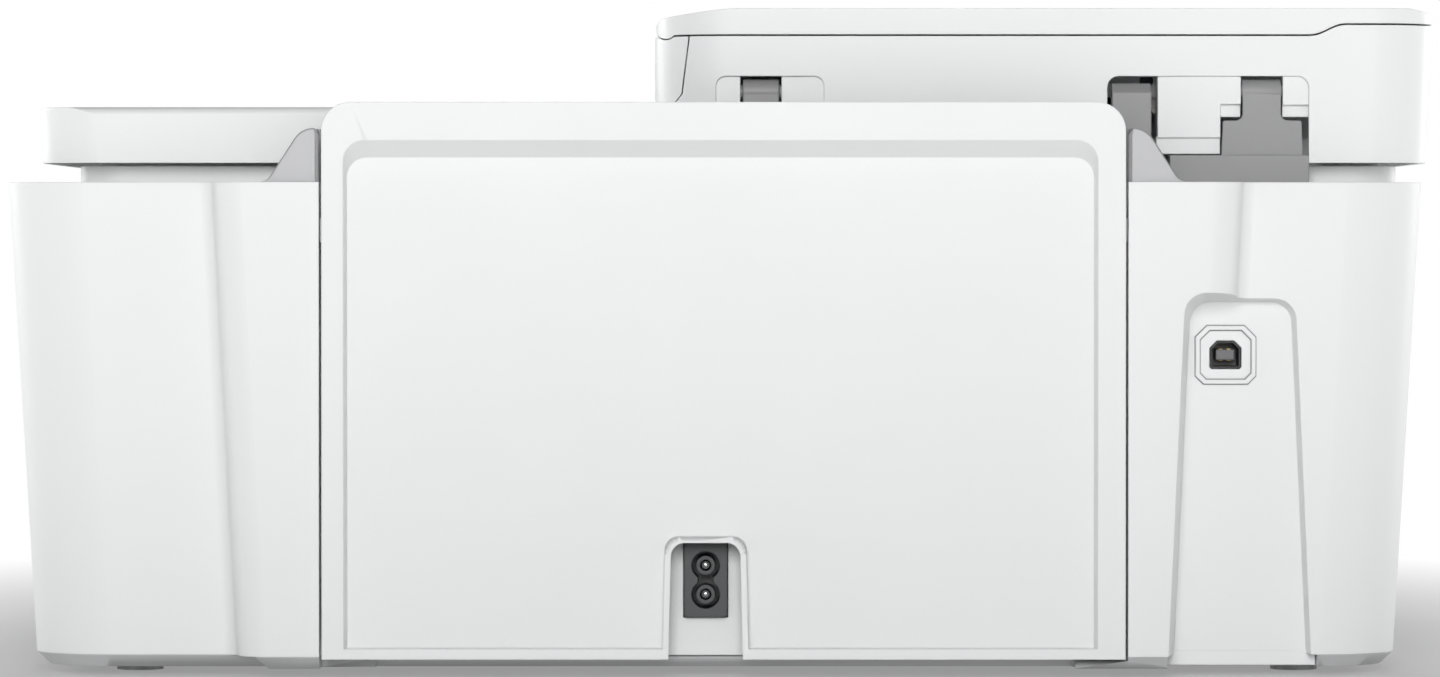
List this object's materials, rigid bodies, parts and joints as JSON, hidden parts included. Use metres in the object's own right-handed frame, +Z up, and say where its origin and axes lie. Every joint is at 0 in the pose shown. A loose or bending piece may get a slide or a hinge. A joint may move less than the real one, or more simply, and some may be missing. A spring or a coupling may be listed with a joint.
{
  "type": "inkjet printer",
  "caption": "Multifunction inkjet printer with a scanner lid and document feeder, a lift-and-tilt rear paper tray, a front output tray and a cartridge door.",
  "frame": {"origin": "under the middle of the overall box, at the height of the feet's undersides", "axes": "+Z up; -Y towards the front with the control panel; +Y towards the rear with the input tray; +X towards the low end of the lid"},
  "size_m": [0.4283, 0.332, 0.2],
  "materials": {
    "white_plastic": "fine satin moulded texture",
    "light_grey_plastic": "satin moulded",
    "mid_grey_plastic": "satin moulded",
    "dark_plastic": "satin moulded",
    "inlet_plastic": "satin moulded",
    "display": "gloss",
    "glass": "clear float glass",
    "steel": "zinc plated",
    "chrome_steel": "ground and polished",
    "rubber": "matt",
    "gear_plastic": "natural acetal",
    "circuit_board": "solder mask",
    "pad_foam": "white foil on foam",
    "key_plastic": "satin moulded"
  },
  "bodies": {
    "base": {"base_housing": "white_plastic", "base_pan": "light_grey_plastic", "front_panel": "inlet_plastic", "control_panel": "white_plastic", "display_window": "display", "scanner_base": "white_plastic", "scanner_glass": "glass", "scan_rail": "chrome_steel", "paper_well": "light_grey_plastic", "power_inlet": "inlet_plastic", "power_supply": "dark_plastic", "usb_port": "dark_plastic", "main_board": "circuit_board", "print_frame": "steel", "carriage_rod": "chrome_steel", "carriage_belt": "rubber", "carriage_motor": "steel", "platen": "dark_plastic", "service_station": "dark_plastic", "rubber_feet": "rubber", "case_screws": "steel", "hinge_arm_left": "mid_grey_plastic", "hinge_arm_right": "mid_grey_plastic", "cable_cover": "mid_grey_plastic"},
    "lid": {"lid": "white_plastic", "feeder_end_cover": "white_plastic", "feeder_deck": "inlet_plastic", "document_pad": "pad_foam"},
    "flap": {"document_flap": "white_plastic"},
    "feeder_drive": {"feeder_roller": "rubber", "feeder_gear": "gear_plastic"},
    "separation_drive": {"separation_roller": "rubber", "separation_gear": "gear_plastic"},
    "exit_roller": {"exit_roller": "rubber"},
    "guide_rear": {"document_guide_rear": "mid_grey_plastic"},
    "guide_front": {"document_guide_front": "mid_grey_plastic"},
    "scan_carriage": {"scan_carriage": "dark_plastic"},
    "print_carriage": {"print_carriage": "dark_plastic", "black_cartridge": "dark_plastic", "colour_cartridge": "inlet_plastic"},
    "black_latch": {"black_latch": "inlet_plastic"},
    "colour_latch": {"colour_latch": "inlet_plastic"},
    "feed_drive": {"feed_roller": "rubber", "feed_gear": "gear_plastic"},
    "idler": {"idler_gear": "gear_plastic"},
    "output_drive": {"output_roller": "rubber", "output_gear": "gear_plastic"},
    "pickup_roller": {"pickup_roller": "rubber"},
    "pinch_rollers": {"pinch_rollers": "gear_plastic"},
    "tray_slider": {"tray_slider": "light_grey_plastic"},
    "input_tray": {"input_tray": "white_plastic"},
    "paper_guide_left": {"paper_guide_left": "mid_grey_plastic"},
    "paper_guide_right": {"paper_guide_right": "mid_grey_plastic"},
    "guide_pinion": {"guide_pinion": "gear_plastic"},
    "cartridge_door": {"cartridge_door": "white_plastic"},
    "output_tray": {"output_tray": "light_grey_plastic"},
    "tray_extender": {"tray_extender": "light_grey_plastic"},
    "power_button": {"power_button": "key_plastic"},
    "cancel_button": {"cancel_button": "key_plastic"},
    "copy_button": {"copy_button": "key_plastic"}
  },
  "joints": [
    {"name": "lid_hinge", "type": "hinge", "parent": "base", "child": "lid", "pos_m": [0, 0.1256, 0.1738], "axis": [-1, 0, 0], "range_deg": [0, 78]},
    {"name": "flap_hinge", "type": "hinge", "parent": "lid", "child": "flap", "pos_m": [0.0172, 0, 0.193], "axis": [0, -1, 0], "range_deg": [-130, 0]},
    {"name": "feeder_spin", "type": "hinge", "parent": "lid", "child": "feeder_drive", "pos_m": [-0.128, 0, 0.1775], "axis": [0, 1, 0], "continuous": true},
    {"name": "separation_spin", "type": "hinge", "parent": "lid", "child": "separation_drive", "pos_m": [-0.1456, 0, 0.1775], "axis": [0, 1, 0], "continuous": true},
    {"name": "exit_spin", "type": "hinge", "parent": "lid", "child": "exit_roller", "pos_m": [-0.06, 0, 0.1775], "axis": [0, 1, 0], "continuous": true},
    {"name": "guide_rear_slide", "type": "slide", "parent": "lid", "child": "guide_rear", "axis": [0, -1, 0], "range_m": [0, 0.054]},
    {"name": "guide_front_slide", "type": "slide", "parent": "lid", "child": "guide_front", "axis": [0, 1, 0], "range_m": [0, 0.054]},
    {"name": "scan_travel", "type": "slide", "parent": "base", "child": "scan_carriage", "axis": [1, 0, 0], "range_m": [0, 0.3]},
    {"name": "print_travel", "type": "slide", "parent": "base", "child": "print_carriage", "axis": [-1, 0, 0], "range_m": [0, 0.262]},
    {"name": "black_latch_hinge", "type": "hinge", "parent": "print_carriage", "child": "black_latch", "pos_m": [0.133, -0.0316, 0.081], "axis": [1, 0, 0], "range_deg": [0, 60]},
    {"name": "colour_latch_hinge", "type": "hinge", "parent": "print_carriage", "child": "colour_latch", "pos_m": [0.165, -0.0316, 0.081], "axis": [1, 0, 0], "range_deg": [0, 60]},
    {"name": "feed_spin", "type": "hinge", "parent": "base", "child": "feed_drive", "pos_m": [0, 0.048, 0.046], "axis": [1, 0, 0], "continuous": true},
    {"name": "idler_spin", "type": "hinge", "parent": "base", "child": "idler", "pos_m": [-0.19, 0.012, 0.046], "axis": [1, 0, 0], "continuous": true},
    {"name": "output_spin", "type": "hinge", "parent": "base", "child": "output_drive", "pos_m": [0, -0.022, 0.046], "axis": [1, 0, 0], "continuous": true},
    {"name": "pickup_spin", "type": "hinge", "parent": "base", "child": "pickup_roller", "pos_m": [0, 0.1268, 0.059], "axis": [1, 0, 0], "continuous": true},
    {"name": "pinch_spin", "type": "hinge", "parent": "base", "child": "pinch_rollers", "pos_m": [0, 0.048, 0.05565], "axis": [1, 0, 0], "continuous": true},
    {"name": "tray_lift", "type": "slide", "parent": "base", "child": "tray_slider", "axis": [0, 0, 1], "range_m": [0, 0.06]},
    {"name": "tray_tilt", "type": "hinge", "parent": "tray_slider", "child": "input_tray", "pos_m": [0, 0.1611, 0.011], "axis": [-1, 0, 0], "range_deg": [0, 12]},
    {"name": "guide_left_slide", "type": "slide", "parent": "base", "child": "paper_guide_left", "axis": [-1, 0, 0], "range_m": [0, 0.047]},
    {"name": "guide_right_slide", "type": "slide", "parent": "base", "child": "paper_guide_right", "axis": [1, 0, 0], "range_m": [0, 0.047]},
    {"name": "pinion_spin", "type": "hinge", "parent": "base", "child": "guide_pinion", "pos_m": [0, 0.1317, 0.108], "axis": [0, -1, 0], "range_deg": [0, 460]},
    {"name": "door_hinge", "type": "hinge", "parent": "base", "child": "cartridge_door", "pos_m": [0, -0.157, 0.0644], "axis": [1, 0, 0], "range_deg": [0, 85]},
    {"name": "output_slide", "type": "slide", "parent": "base", "child": "output_tray", "axis": [0, -1, 0], "range_m": [0, 0.11]},
    {"name": "extender_slide", "type": "slide", "parent": "output_tray", "child": "tray_extender", "axis": [0, -1, 0], "range_m": [0, 0.08]},
    {"name": "power_press", "type": "slide", "parent": "base", "child": "power_button", "axis": [0, 0.5008, -0.8656], "range_m": [0, 0.0008], "stiffness_N_per_m": 400},
    {"name": "cancel_press", "type": "slide", "parent": "base", "child": "cancel_button", "axis": [0, 0.5008, -0.8656], "range_m": [0, 0.0008], "stiffness_N_per_m": 400},
    {"name": "copy_press", "type": "slide", "parent": "base", "child": "copy_button", "axis": [0, 0.5008, -0.8656], "range_m": [0, 0.0008], "stiffness_N_per_m": 400}
  ],
  "couplings": [
    {"joint": "separation_spin", "follows": "feeder_spin", "ratio": -1.2},
    {"joint": "guide_front_slide", "follows": "guide_rear_slide", "ratio": 1},
    {"joint": "idler_spin", "follows": "feed_spin", "ratio": -1.25},
    {"joint": "output_spin", "follows": "feed_spin", "ratio": 1.1111},
    {"joint": "pinch_spin", "follows": "feed_spin", "ratio": -1.7143},
    {"joint": "guide_right_slide", "follows": "guide_left_slide", "ratio": 1},
    {"joint": "pinion_spin", "follows": "guide_left_slide", "rad_per_m": 166.67}
  ]
}
